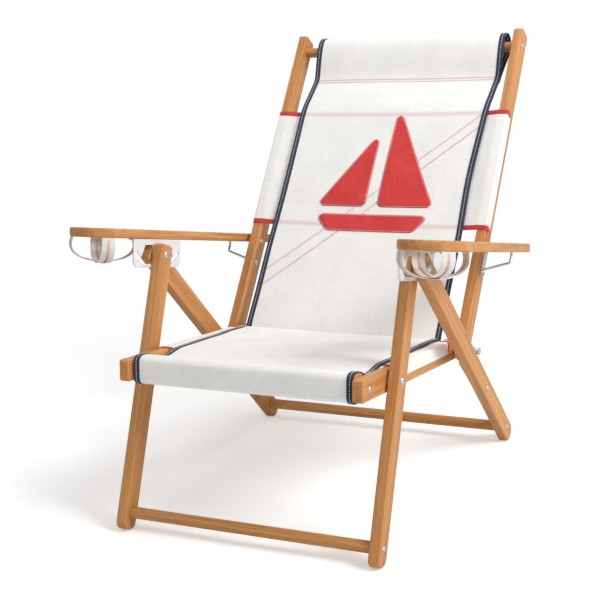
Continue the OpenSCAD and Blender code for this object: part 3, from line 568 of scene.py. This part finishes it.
for side, s in SIDES.items():
    shift = 1390 if s > 0 else 1260
    place = ARM_PLACE @ shifted(0, 0, ARM_UNDER + ARM_T / 2)
    outline = [(s * x, y) for x, y in link_outline(PADDLE, PADDLE_R, TAIL, TAIL_R, 48, 16)]
    form = board([outline, circle((s * PADDLE[0], PADDLE[1]), CUP_R, 56)], ARM_T, EASE + 0.6)
    piece(f"arm_board_{side}", [moved(form, shifted(0, 0, shift))], TEAK, [f"arm_{side}"],
          place @ shifted(0, 0, -shift))

    # The painted angle: a cheek with a window and a slanted slot towards each end, and a flange under the arm.
    top = ARM_UNDER - 0.3
    cheek = rounded([(-BRACKET_HALF, -BRACKET_BELOW), (BRACKET_HALF, -BRACKET_BELOW), (BRACKET_HALF, top),
                     (-BRACKET_HALF, top)], [BRACKET_R, BRACKET_R, 0.8, 0.8])
    windows = []
    for way in (-1, 1):
        window = [(15, -17), (55.5, -17), (80.6, 1.8), (75.4, 8.6), (57.1, -5.2), (44, 19.2), (15, 19.2)]
        windows.append(rounded([(way * y, z) for y, z in window], [3, 4, 3.6, 3.6, 3, 4, 3]))
    cheek = moved(board([cheek, *windows], SHEET, 0.7), shifted(s * (CHEEK_IN + SHEET / 2), 0, 0) @ ARM_SIDE)
    x0, x1 = CHEEK_IN + 0.4, CHEEK_IN + SHEET + FLANGE_W
    flange = rounded([(s * x0, -FLANGE_FRONT), (s * x1, -FLANGE_FRONT), (s * x1, BRACKET_HALF),
                      (s * x0, BRACKET_HALF)], [0.8, 7, 7, 0.8])
    flange = moved(board([flange], SHEET, 0.7), shifted(0, 0, ARM_UNDER - SHEET / 2))
    piece(f"angle_plate_{side}", [cheek, flange], PAINT, [f"arm_bracket_{side}"], ARM_PLACE)
    screws = []
    for y in (-19, 27, 73):
        down = shifted(s * FLANGE_SCREW_X, y, ARM_UNDER - SHEET) @ Matrix.Rotation(pi, 4, "X")
        screws.append(moved(turned(SCREW_HEAD, 24), down))
    piece(f"angle_screws_{side}", screws, ZINC, [f"arm_bracket_screws_{side}"], ARM_PLACE)

    # Two crossing webbing loops under the cup hole, each with a zigzag seam along its middle.
    for kind, reach, drop, turn in (("outer", 59.6, 47.2, 45), ("inner", 58.6, 44.1, -45)):
        hang = ARM_PLACE @ shifted(s * PADDLE[0], PADDLE[1], ARM_UNDER) @ Matrix.Rotation(radians(s * turn), 4, "Z")

        def loop_point(f, lift=0.0, across=0.0):
            a = pi * f
            wide = (reach + lift) * cos(a) + 8 * sin(2 * a)
            return Vector((-wide, across, -(drop + lift) * sin(a) ** 0.9 - 0.2))

        path = [loop_point(k / 48) for k in range(49)]
        out = [(loop_point(k / 48, 1) - loop_point(k / 48)).normalized() for k in range(49)]
        tape = swept(path, band(STRAP_HALF, STRAP_UP, 0.6, 3), lambda i: (Vector((0, 1, 0)), out[i]))
        piece(f"cup_loop_{kind}_{side}", [tape], WEBBING, [f"cup_strap_{kind}_{side}"], hang)
        seams = []
        for lift in (1.05, -1.05):
            zig = [loop_point(0.02 + 0.96 * k / 60, lift, 2.6 * (-1) ** k) for k in range(61)]
            seams.append(thread(zig, 0.55, 4))
        piece(f"cup_loop_seam_{kind}_{side}", seams, RED_THREAD, place=hang, body=f"arm_{side}")

    # The bent wire on its plate, with its end up under the arm.
    wire_c, wire_end = along(BACK_PIVOT, BACK_LEAN, WIRE_AT), along(BACK_PIVOT, BACK_LEAN, WIRE_AT - WIRE_RISE)
    wire_low = along(BACK_PIVOT, BACK_LEAN, LOWER_BOLT_AT + BOLT_EDGE)
    at, far = s * (LEG_OUT + SHEET / 2), s * (LEG_OUT + WIRE_REACH)
    peg = along(wire_c, ARM_SLOPE, PEG_RISE)
    rod = thread(filleted([(at, *wire_low), (far, *wire_end), (far, *wire_c), (far, *peg)], WIRE_BEND, 6), WIRE_R, 14)
    strap = bar_outline(LOWER_BOLT_AT - BOLT_EDGE, UPPER_BOLT_AT + BOLT_EDGE, WIRE_PLATE_W, BOLT_EDGE, BOLT_EDGE)
    strap = moved(board([strap], SHEET, 0.6), side_place(BACK_PIVOT, BACK_LEAN, at))
    piece(f"arm_wire_{side}", [rod, strap], ZINC, [f"wire_bracket_{side}"])

    # The plate on the rear leg's inner face.
    plate = link_outline(PLATE_RIVET, PLATE_R, along(PLATE_RIVET, PLATE_TURN, PLATE_L), NOSE_R, 20, 20)
    plate = moved(board([plate], PLATE_T, 0.6), side_place((0, 0), 0, s * (REAR_IN - PLATE_T / 2)))
    piece(f"stop_plate_steel_{side}", [plate], PAINT, [f"stop_plate_{side}"])

    bolt = [moved(turned(BOLT_HEAD), pin_place(APEX, s * LEG_IN, -s)),
            moved(turned(DEEP_HEAD), pin_place(APEX, s * REAR_OUT, s)),
            moved(turned([(PIVOT_R, 0), (PIVOT_R, 20), (PIVOT_R, 44)], 24), pin_place(APEX, s * LEG_IN, s))]
    piece(f"apex_pin_{side}", bolt, ZINC, [f"apex_bolt_{side}"])


# Bolts, screws, washers

def on_both(form, p, x, way):
    """The same turned form on both sides, at distance x from the middle, facing out (1) or in (-1)."""
    return [moved(form, pin_place(p, s * x, s * way)) for s in SIDES.values()]


def shank(radius, length):
    return turned([(radius, 0), (radius, length / 2), (radius, length)], 20)


def hardware(name, node, forms, material=ZINC):
    piece(name, forms, material, [node])


screw, bolt_head = turned(SCREW_HEAD, 24), turned(BOLT_HEAD)
nut, small_nut = (turned(profile, hexagon=True, closed=True) for profile in (NUT, SMALL_NUT))
washer = ring(PIVOT_BORE, WASHER_R, WASHER_T)
spacer = ring(PIVOT_BORE, SPACER_R, SPACER_L, 0.8)
wire_bolts, wire_nuts = [], []
for t in (LOWER_BOLT_AT, UPPER_BOLT_AT):
    p = along(BACK_PIVOT, BACK_LEAN, t)
    wire_bolts += on_both(screw, p, LEG_IN, -1) + on_both(shank(SCREW_R, 27), p, LEG_IN, 1)
    wire_nuts += on_both(small_nut, p, LEG_OUT + SHEET, 1)
hardware("screws_front_stretcher", "front_stretcher_screws", on_both(screw, FRONT_AT, LEG_OUT, 1))
hardware("screws_rear_stretcher", "rear_stretcher_screws", on_both(screw, REAR_AT, REAR_OUT, 1))
hardware("screws_top_dowel", "top_dowel_screws", on_both(screw, TOP_DOWEL, LEG_OUT, 1))
hardware("screws_front_bar", "seat_front_bar_screws", on_both(screw, FRONT_BAR, RAIL_OUT, 1))
hardware("rivets_stop_plate", "stop_plate_rivets", on_both(screw, PLATE_RIVET, REAR_OUT, 1)
         + on_both(shank(SCREW_R, 22), PLATE_RIVET, REAR_IN - PLATE_T, 1))
hardware("bolts_seat_pivot", "seat_pivot_bolts", on_both(bolt_head, SEAT_PIVOT, LEG_OUT, 1)
         + on_both(shank(PIVOT_R, 48), SEAT_PIVOT, RAIL_IN - 5, 1))
hardware("nuts_seat_pivot", "seat_pivot_nuts", on_both(nut, SEAT_PIVOT, RAIL_IN, -1))
hardware("washers_seat_pivot", "seat_pivot_washers", on_both(washer, SEAT_PIVOT, RAIL_OUT, 1), NYLON)
hardware("bolts_back_pivot", "back_pivot_bolts", on_both(bolt_head, BACK_PIVOT, RAIL_IN, -1)
         + on_both(shank(PIVOT_R, 71), BACK_PIVOT, RAIL_IN, 1))
hardware("washers_back_pivot", "back_pivot_washers", on_both(washer, BACK_PIVOT, RAIL_OUT, 1), NYLON)
hardware("spacers_back_pivot", "back_pivot_spacers", on_both(spacer, BACK_PIVOT, LEG_OUT, 1), NYLON)
hardware("nuts_back_pivot", "back_pivot_nuts", on_both(nut, BACK_PIVOT, REAR_OUT - 2, 1))
hardware("bolts_arm_wire", "wire_bracket_bolts", wire_bolts)
hardware("nuts_arm_wire", "wire_bracket_nuts", wire_nuts)


# Sling

def stile_point(t, n):
    """Side view point at t up the stile from the back pivot and n behind its middle."""
    p = along(BACK_PIVOT, BACK_LEAN, t)
    return along(p, BACK_LEAN + 90, n)


def rail_point(d, n):
    """Side view point at d along the rail from the seat pivot and n above its middle."""
    p = along(SEAT_PIVOT, 90 + RAIL_SLOPE, d)
    return along(p, RAIL_SLOPE, n)


def faired(points, step):
    """A smooth curve through the points, at even steps."""
    points = [Vector(p) for p in points]
    ends = [points[0] * 2 - points[1]] + points + [points[-1] * 2 - points[-2]]
    out = [points[0]]
    for a, b, c, d in zip(ends, ends[1:], ends[2:], ends[3:]):
        count = max(2, round((c - b).length / step))
        for k in range(1, count + 1):
            f = k / count
            out.append(0.5 * ((2 * b) + (c - a) * f + (2 * a - 5 * b + 4 * c - d) * f ** 2
                              + (3 * b - a - 3 * c + d) * f ** 3))
    return out


class Sling:
    """One half of the sling: a side view path, how far the cloth dips behind it, and how far it strays sideways."""

    def __init__(self, path, dip, stray):
        self.path, self.dip, self.stray = [Vector(p) for p in path], dip, stray
        self.run = lengths_along(self.path)
        ahead = [heading(self.path, i) for i in range(len(self.path))]
        self.normal = [Vector((d.y, -d.x)) for d in ahead]

    def at(self, x, run, lift=0.0):
        run = min(max(run, 0), self.run[-1])
        k = next(j for j in range(1, len(self.run)) if self.run[j] >= run - 1e-9)
        f = (run - self.run[k - 1]) / (self.run[k] - self.run[k - 1])
        n = self.normal[k - 1].lerp(self.normal[k], f).normalized()
        p = self.path[k - 1].lerp(self.path[k], f) + n * (lift - self.dip(x, run))
        return Vector((self.stray(x, run), p.x, p.y))

    def up(self, x, run):
        return (self.at(x, run, 1) - self.at(x, run)).normalized()

    def rows(self, first, last):
        """The path's own steps from one run to another, shared by the cloth and its edges so that they bend alike."""
        return [first] + [r for r in self.run if first + 1 < r < last - 1] + [last]

    def sheet(self, half, columns, first, last, thick):
        """The cloth from one run to another: a grid for each face, joined round the edges."""
        points, faces, cut = [], [], []
        runs, n = self.rows(first, last), columns + 1
        for lift in (thick / 2, -thick / 2):
            for run in runs:
                for k in range(n):
                    x = half * (2 * k / columns - 1)
                    points.append(self.at(x, run, lift))
                    cut.append((x, run))
        size, top = len(runs) * n, (len(runs) - 1) * n
        for quad in grid(len(runs) - 1, columns):
            faces += [quad[::-1], tuple(size + v for v in quad)]
        rim = [*range(n), *range(n + columns, size, n), *range(top + columns - 1, top - 1, -1),
               *range(top - n, 0, -n)]
        faces += [(u, v, size + v, size + u) for u, v in zip(rim, rim[1:] + rim[:1])]
        return points, faces, cut

    def edge(self, x, first, last):
        """The path along the sling at x, with its normals."""
        runs = self.rows(first, last)
        return [self.at(x, r) for r in runs], [self.up(x, r) for r in runs]

    def row(self, x0, run0, x1, run1, step, lift, sway):
        """A straight row over the cloth, swaying from side to side for a zigzag."""
        count = max(2, round(hypot(x1 - x0, run1 - run0) / step))
        dx, dr = (x1 - x0) / count, (run1 - run0) / count
        size = hypot(dx, dr)
        out = []
        for k in range(count + 1):
            off = sway * (-1) ** k
            out.append(self.at(x0 + dx * k - dr / size * off, run0 + dr * k + dx / size * off, lift))
        return out


def smooth(value, low, high):
    f = min(max((value - low) / (high - low), 0), 1)
    return f * f * (3 - 2 * f)


# Back half: hem behind the seam, up the back sheet, over the dowel, down to the seam and on to the crook.
CROOK = stile_point(4.9, -28.2)
SEAM_AT, LOOP_R, LOOP_AT, LOOP_N = 624, 25, 706, 8
back_path = faired([stile_point(t, n) for t, n in ((608, 0.8), (616, 3.0), (SEAM_AT, 4.8), (646, 11.8),
                                                   (668, 20), (689, 28.4), (LOOP_AT - 4, LOOP_N + 24.4))], 7)
back_path += [stile_point(t, n) for n, t in arc((LOOP_N, LOOP_AT), LOOP_R, 0, pi, 20)]
back_path += faired([stile_point(t, n) for t, n in (
    (LOOP_AT - 9, LOOP_N - 24.6), (680, -13.2), (660, -7.6), (642, -1.6), (SEAM_AT, 2.2), (607, -1.8), (570, -13.4),
    (530, -SLING_UP), (460, -SLING_UP), (360, -SLING_UP), (252, -SLING_UP), (200, -24.6), (120, -27), (60, -28.8),
    (26, -29.8), (13, -29.6))] + [CROOK], 8)
# Seat half: from the crook over the seat, slack behind the front bar, round it and back up behind it.
seat_path = faired([CROOK, rail_point(313, 21.4), rail_point(303, SLING_UP), rail_point(286, SLING_UP + 0.2)], 2.5)
seat_path += faired([rail_point(d, n) for d, n in (
    (280, SLING_UP + 0.2), (200, SLING_UP), (100, SLING_UP), (36, 22.4), (16, 20.6), (0, 17.4), (-16, 14.2), (-34, 13),
    (-52, 16.4), (-66, 21.8), (-75, 24.8), (-83, BAR_HALF_D + WRAP_UP))], 6)
for d, n, first in ((-1, 1, 90), (-1, -1, 180), (1, -1, 270)):
    corner = d * (BAR_HALF_T - BAR_R) - FRONT_BAR_AT, n * (BAR_HALF_D - BAR_R)
    seat_path += [rail_point(*q) for q in arc(corner, BAR_R + WRAP_UP, radians(first), pi / 2, 6)]
seat_path += [rail_point(BAR_HALF_T + WRAP_UP - FRONT_BAR_AT, n) for n in (-6, 2, 10, 16)]


def back_dip(x, run):
    hollow = 5 * (1 - (x / SLING_HALF) ** 2) * smooth(run, 260, 390) * (1 - smooth(run, 770, 870))
    # Soft folds that fan out from the crook's corners, and a slight slack near the seam.
    folds = 1.1 * sin(x / 38 + run / 61) * smooth(run, 630, 760) * (1 - smooth(run, 830, 870))
    slack = 0.8 * sin(x / 55 - run / 47) * smooth(run, 90, 150) * (1 - smooth(run, 330, 400))
    return hollow + folds + slack


def back_stray(x, run):
    # The top of the back hangs a little to the right, and the cloth is a little narrower at half its height.
    high = 1 - smooth(run, 262, 560)
    return x * (0.979 + 0.028 * high + 0.015 * smooth(run, 520, 700)) + 1.6 + 6.9 * high


def seat_stray(x, run):
    # The seat's left edge is drawn in a little between the crook and the front bar.
    crook, drawn = 1 - smooth(run, 0, 120), smooth(run, 60, 160) * (1 - smooth(run, 320, 400))
    return x * (1 - 0.006 * crook - 0.02 * drawn) + 1.6 * crook + 4.5 * drawn


def seat_dip(x, run):
    hollow = 4 * (1 - (x / SLING_HALF) ** 2) * smooth(run, 20, 110) * (1 - smooth(run, 240, 330))
    folds = 0.8 * sin(x / 41 - run / 57) * smooth(run, 12, 60) * (1 - smooth(run, 330, 390))
    return hollow + folds


back_sling, seat_sling = Sling(back_path, back_dip, back_stray), Sling(seat_path, seat_dip, seat_stray)
# The back's lower part goes slack when the chair is folded, and its upper part gives when the back is let down.
SLACK_AT = 236
FOLD_BEND = ("seat", "back_pivots", (0, *stile_point(14, -24)), (0, *stile_point(SLACK_AT, -24)))
RECLINE_BEND = ("back_pivots", "back", (0, *stile_point(SLACK_AT, -24)), (0, *stile_point(560, -24)))


def back_run(t):
    """Distance along the back half's path at t up the stile, below the seam."""
    origin = Vector(BACK_PIVOT)
    axis = Vector(along((0, 0), BACK_LEAN, 1))
    ts = [(p - origin).dot(axis) for p in back_sling.path]
    k = next(i for i in range(len(ts) - 1, 0, -1) if ts[i - 1] >= t)
    f = (ts[k - 1] - t) / (ts[k - 1] - ts[k])
    return back_sling.run[k - 1] + f * (back_sling.run[k] - back_sling.run[k - 1])


# The sleeve's red edges lie behind the white back cloth and are painted on it as two soft pinkish lines: painted
# show-through, the tint and shade that light through the cloth would give.
SAILCLOTH_BACK = woven_cloth("sailcloth_back", "#F8F7F4", "#ECEBE8", 0.0014, 0.72,
                             lines=((back_run(521), 9, 0.8), (back_run(255), 9, 0.8)), show_through_code="#E2CDC8")
SAILCLOTH_SEAT = woven_cloth("sailcloth_seat", "#F8F7F4", "#ECEBE8", 0.0014, 0.72)

slack_run = back_run(SLACK_AT)
SLING_PARTS = (("back", back_sling, 0, slack_run, SAILCLOTH_BACK, RECLINE_BEND, "sling_back"),
               ("crook", back_sling, slack_run, back_sling.run[-1], SAILCLOTH_BACK, FOLD_BEND, "sling_back"),
               ("seat", seat_sling, 0, seat_sling.run[-1], SAILCLOTH_SEAT, FOLD_BEND, "sling_seat"))
sling_pieces = {}
for part, sling, first, last, material, bend, node in SLING_PARTS:
    form = sling.sheet(SLING_HALF - 1.5, 48, first, last, CLOTH_T)
    sheet = piece(f"sling_cloth_{part}", [form], material, [node], bends=bend, sharp=70)
    trims = []
    for side, s in SIDES.items():
        # Binding tape folded over the edge, with a row of light stitches on both faces.
        path, normals = sling.edge(s * (SLING_HALF - BINDING_HALF), first, last)
        fold = band(BINDING_HALF, BINDING_UP, [0.4, 1.4, 1.4, 0.4], 3)
        tape = swept(path, fold, lambda i: (Vector((s, 0, 0)), normals[i]))
        trims.append(piece(f"sling_binding_{part}_{side}", [tape], NAVY_TAPE, bends=bend, sharp=60))
        forms = []
        for face in (1, -1):
            lifted = [p + n * (BINDING_UP + 0.15) * face for p, n in zip(path, normals)]
            forms += dashes(lifted, [n * face for n in normals], 3.4, 1.9, 0.5)
        trims.append(piece(f"sling_binding_stitches_{part}_{side}", forms, WHITE_THREAD, bends=bend))
    sling_pieces[part] = (sheet, trims)

# Double zigzag seam under the loop, and the two slanting seams of the back.
seams = {"back": [back_sling.row(-206, back_run(t), 206, back_run(t), 2.4, 0.8, 1.4) for t in (622, 615)],
         "crook": []}
for (x0, t0), (x1, t1) in (((-206, 142), (206, 516)), ((-205, 107), (206, 486))):
    x = x0 + (SLACK_AT - t0) / (t1 - t0) * (x1 - x0)
    seams["crook"].append(back_sling.row(x0, back_run(t0), x, slack_run, 2.2, 0.75, 1.1))
    seams["back"].append(back_sling.row(x, slack_run, x1, back_run(t1), 2.2, 0.75, 1.1))
for part, bend in (("back", RECLINE_BEND), ("crook", FOLD_BEND)):
    threads = [thread(row, 0.45, 4) for row in seams[part]]
    sling_pieces[part][1].append(piece(f"sling_seams_{part}", threads, RED_THREAD, bends=bend))


# Applique: two plain sails over a hull

def across(outline, y):
    """Where a convex outline crosses the height y, left and right."""
    xs = []
    for p, q in zip(outline, outline[1:] + outline[:1]):
        if min(p[1], q[1]) <= y <= max(p[1], q[1]) and abs(p[1] - q[1]) > 1e-9:
            xs.append(p[0] + (y - p[1]) / (q[1] - p[1]) * (q[0] - p[0]))
    return min(xs), max(xs)


def inset(outline, d):
    """A convex outline moved inwards by d."""
    out = []
    for i, p in enumerate(outline):
        a, b = Vector(outline[i - 1]), Vector(outline[(i + 1) % len(outline)])
        t = (b - a).normalized()
        out.append((p[0] - t.y * d, p[1] + t.x * d))
    return out


def patch(outline, lift):
    """A cloth patch on the back, from an outline in (x, t) that runs anticlockwise."""
    low, high = min(p[1] for p in outline), max(p[1] for p in outline)
    rows, columns = max(8, round((high - low) / 7)), 16
    points, cut = [], []
    for i in range(rows + 1):
        t = low + 0.02 + (high - low - 0.04) * i / rows
        x0, x1 = across(outline, t)
        for k in range(columns + 1):
            x = x0 + (x1 - x0) * k / columns
            points.append(back_sling.at(x, back_run(t), lift))
            cut.append((x, t))
    return points, grid(rows, columns), cut


SAILS = ([(14, 298), (146, 298), (14, 546)], [(-12, 298), (-12, 484), (-128, 298)],
         [(-92, 240), (108, 240), (142, 280), (-126, 280)])
patches, edges = [], []
for shape in SAILS:
    outline = rounded(shape, 9, 8)
    patches.append(patch(outline, 1.05))
    line, path = inset(outline, 2.2), []
    for p, q in zip(line, line[1:] + line[:1]):
        count = max(1, round(hypot(q[0] - p[0], q[1] - p[1]) / 6))
        path += [(p[0] + (q[0] - p[0]) * k / count, p[1] + (q[1] - p[1]) * k / count) for k in range(count)]
    path.append(path[0])
    lifted = [back_sling.at(x, back_run(t), 1.65) for x, t in path]
    edges += dashes(lifted, [back_sling.up(x, back_run(t)) for x, t in path], 3, 1.2, 0.5)
sling_pieces["back"][1].extend([
    piece("sling_applique", patches, RED_CLOTH, bends=RECLINE_BEND, thick=0.7, sharp=180),
    piece("sling_applique_stitches", edges, WHITE_THREAD, bends=RECLINE_BEND)])


# Sleeves over the timber: a sheet from side to side with a flap down each outer face

FLAP, CORNER, TAPE_HALF = 23, 12, 5.4


def sleeve(name, node, half, inner, ends, place, body):
    """A cloth sleeve between two ends along the timbers, with a red tape folded over both."""
    low, high = ends
    depth, outer, r = TIMBER_D / 2 + 0.85, half + 0.85, EASE + 0.9
    # The section in (x, n) runs from the left flap's lower edge over the timber to the right flap's lower edge.
    edge = depth - FLAP - 0.85
    right = [(outer, edge + CORNER * (1 - cos(radians(15 * k)))) for k in range(7)]
    right += [(outer, depth - r - 2)] + arc((outer - r, depth - r), r, 0, pi / 2, 5)
    flat = [(outer - r) * cos(pi * k / 60) for k in range(1, 60)]
    loop = [(-x, n) for x, n in right] + [(-x, depth) for x in flat] + right[::-1]
    girth = [0.0]
    for p, q in zip(loop, loop[1:]):
        girth.append(girth[-1] + hypot(q[0] - p[0], q[1] - p[1]))

    def hang(p, y):
        x, n = p
        if abs(x) >= inner:
            return Vector((x, n, y))
        # Between the sides the sheet falls off the timber's edge at once and lies slack under the sling.
        bow = 1 - (x / inner) ** 2
        deep = 5.5 * (1 - (x / inner) ** 10) + 3.5 * bow + 0.5 * sin(x / 27 + y / 35) * bow
        return Vector((x, n - deep, y))

    def corner(k, radius, inset):
        """How far the rounded corner of a flap stands back at section point k."""
        rise = min(girth[k], girth[-1] - girth[k]) - inset
        return radius - sqrt(max(radius ** 2 - max(radius - max(rise, 0), 0) ** 2, 0))

    rows, n = 24, len(loop)
    points, cut = [], []
    for i in range(rows + 1):
        for k, p in enumerate(loop):
            back = 2 + corner(k, CORNER - 2, 1)
            y = low + back + (high - low - 2 * back) * i / rows
            points.append(hang(p, y))
            cut.append((girth[k], y))
    form = points, grid(rows, n - 1), cut
    cloth = piece(name, [form], SLEEVE_CLOTH, [node], place, body, thick=0.7, sharp=180)
    tapes, stitches = [], []
    first = next(k for k in range(n) if girth[k] > 5)
    for end, way in ((low, 1), (high, -1)):
        def line(inset):
            return [hang(loop[k], end + way * (inset + corner(k, CORNER - inset, inset)))
                    for k in range(first, n - first)]

        path = line(TAPE_HALF)
        outs, sides = [], []
        for i in range(len(path)):
            k = i + first
            d = hang(loop[k + 1], end) - hang(loop[k - 1], end)
            outs.append(Vector((-d.y, d.x, 0)).normalized())
            sides.append(outs[-1].cross(heading(path, i)).normalized())
        tapes.append(swept(path, band(TAPE_HALF, 0.75, 0.5, 2), lambda i: (sides[i], outs[i])))
        row = [p + o * 0.9 for p, o in zip(line(8.6), outs)]
        stitches += dashes(row, outs, 3.4, 1.8, 0.42)
    tape = piece(f"{name}_edges", tapes, RED_TAPE, place=place, body=body, sharp=60)
    seam = piece(f"{name}_edge_stitches", stitches, RED_THREAD, place=place, body=body)


def sleeve_place(p, lean):
    """Local X across the chair, local Z along the timber, local Y square to both, towards the sitter's side."""
    a = radians(lean)
    return Matrix(((1, 0, 0, 0), (0, -cos(a), sin(a), p[0]), (0, sin(a), cos(a), p[1]), (0, 0, 0, 1)))


sleeve("sleeve_of_seat", "seat_sleeve", RAIL_OUT, RAIL_IN, SEAT_SLEEVE,
       sleeve_place(SEAT_PIVOT, 90 + RAIL_SLOPE), "seat")
sleeve("sleeve_of_back", "back_sleeve", LEG_OUT, LEG_IN, BACK_SLEEVE,
       sleeve_place(BACK_PIVOT, BACK_LEAN), "back")

for part, sling, first, last, *_ in SLING_PARTS:
    sheet, trims = sling_pieces[part]


# Floor, light, camera

def pale_floor():
    # Smooth painted studio floor, near white, that keeps the chair's shadow.
    mat = finish("pale_studio_floor")
    where = add(mat, "ShaderNodeTexCoord").outputs["Object"]
    cloud = add(mat, "ShaderNodeTexNoise", {"Vector": where, "Scale": 1 / 0.6, "Detail": 1})
    colour = add(mat, "ShaderNodeMix", {0: cloud.outputs[0], 6: srgb("#F6F6F5"), 7: srgb("#FAFAF9")}, data_type="RGBA")
    # Away from the chair the camera sees plain white, so that the floor has no horizon.
    far = add(mat, "ShaderNodeVectorMath", {0: where}, operation="LENGTH")
    far = add(mat, "ShaderNodeMapRange", {"Value": far.outputs["Value"], 1: 0.75, 2: 1.7, 3: 0, 4: 1},
              interpolation_type="SMOOTHSTEP")
    rays = add(mat, "ShaderNodeLightPath")
    glow = add(mat, "ShaderNodeMapRange", {"Value": rays.outputs["Is Camera Ray"], 1: 0, 2: 1, 3: 0, 4: 0.34})
    skin = add(mat, "Principled BSDF", {"Base Color": colour.outputs[2], "Roughness": 0.9,
                                        "Emission Color": (1, 1, 1, 1), "Emission Strength": glow.outputs[0]})
    far = add(mat, "ShaderNodeMath", {0: far.outputs[0], 1: rays.outputs["Is Camera Ray"]}, operation="MULTIPLY")
    white = add(mat, "ShaderNodeEmission", {"Color": (1, 1, 1, 1), "Strength": 1})
    both = add(mat, "ShaderNodeMixShader", {0: far.outputs[0], 1: skin.outputs[0], 2: white.outputs[0]})
    add(mat, "Material Output", {"Surface": both.outputs[0]})
    return mat


floor_mesh = bpy.data.meshes.new("studio_floor")
FLOOR_HALF, FLOOR_Z = 30, -0.0004
corners = [(x * FLOOR_HALF, y * FLOOR_HALF, FLOOR_Z) for x, y in ((-1, -1), (1, -1), (1, 1), (-1, 1))]
floor_mesh.from_pydata(corners, [], [(0, 1, 2, 3)])
floor_mesh.materials.append(pale_floor())
floor = put("studio_floor", floor_mesh)

scene = bpy.context.scene
scene.view_settings.view_transform = "Standard"
world = bpy.data.worlds.new("studio")
world.use_nodes = True
scene.world = world
# Seen by the camera, directly or in a gloss, the world is plain white; it lights the chair less strongly.
rays = add(world, "ShaderNodeLightPath").outputs
seen = add(world, "ShaderNodeMath", {0: rays["Is Camera Ray"], 1: rays["Is Glossy Ray"]}, operation="MAXIMUM")
seen = add(world, "ShaderNodeMath", {0: seen.outputs[0], 1: rays["Is Transmission Ray"]}, operation="MAXIMUM")
level = add(world, "ShaderNodeMapRange", {"Value": seen.outputs[0], 1: 0, 2: 1, 3: 0.36, 4: 1})
add(world, "Background", {"Color": (1, 1, 1, 1), "Strength": level.outputs[0]})


def soft_lamp(name, place, size, watts):
    """A round area lamp that faces the seat."""
    lamp = bpy.data.lights.new(name, "AREA")
    lamp.shape, lamp.size, lamp.energy = "DISK", size, watts
    obj = put(name, lamp)
    obj.location = place
    obj.rotation_euler = (Vector((0, 0, 0.4)) - Vector(place)).to_track_quat("-Z", "Y").to_euler()


soft_lamp("key_lamp", (3.0, -0.6, 2.6), 1.8, 96)
soft_lamp("fill_lamp", (-1.6, -2.6, 2.4), 2.0, 4)
soft_lamp("top_lamp", (0.2, 0.4, 3.4), 1.6, 31)

# The camera stands where the photograph's lines put it, with its small roll.
yaw, pitch, roll = radians(26.7376), radians(-14.83), radians(-3.7187)
forward = Vector((-sin(yaw) * cos(pitch), cos(yaw) * cos(pitch), sin(pitch)))
right = Vector((cos(yaw), sin(yaw), 0))
upright = right.cross(forward)
right, upright = right * cos(roll) + upright * sin(roll), upright * cos(roll) - right * sin(roll)
lens = bpy.data.cameras.new("studio_camera")
# The fitted focal length and shift are in pixels of a picture 600 wide.
SENSOR, PICTURE, FOCAL, SHIFT = 36, 600, 1314.07, 8.63
lens.sensor_width, lens.lens, lens.shift_y = SENSOR, FOCAL / PICTURE * SENSOR, SHIFT / PICTURE
lens.clip_end = 100
camera = put("studio_camera", lens)
turn = Matrix((right, upright, -forward)).transposed().to_4x4()
camera.matrix_world = shifted(1.09297, -2.34538, 1.01528) @ turn
scene.camera = camera
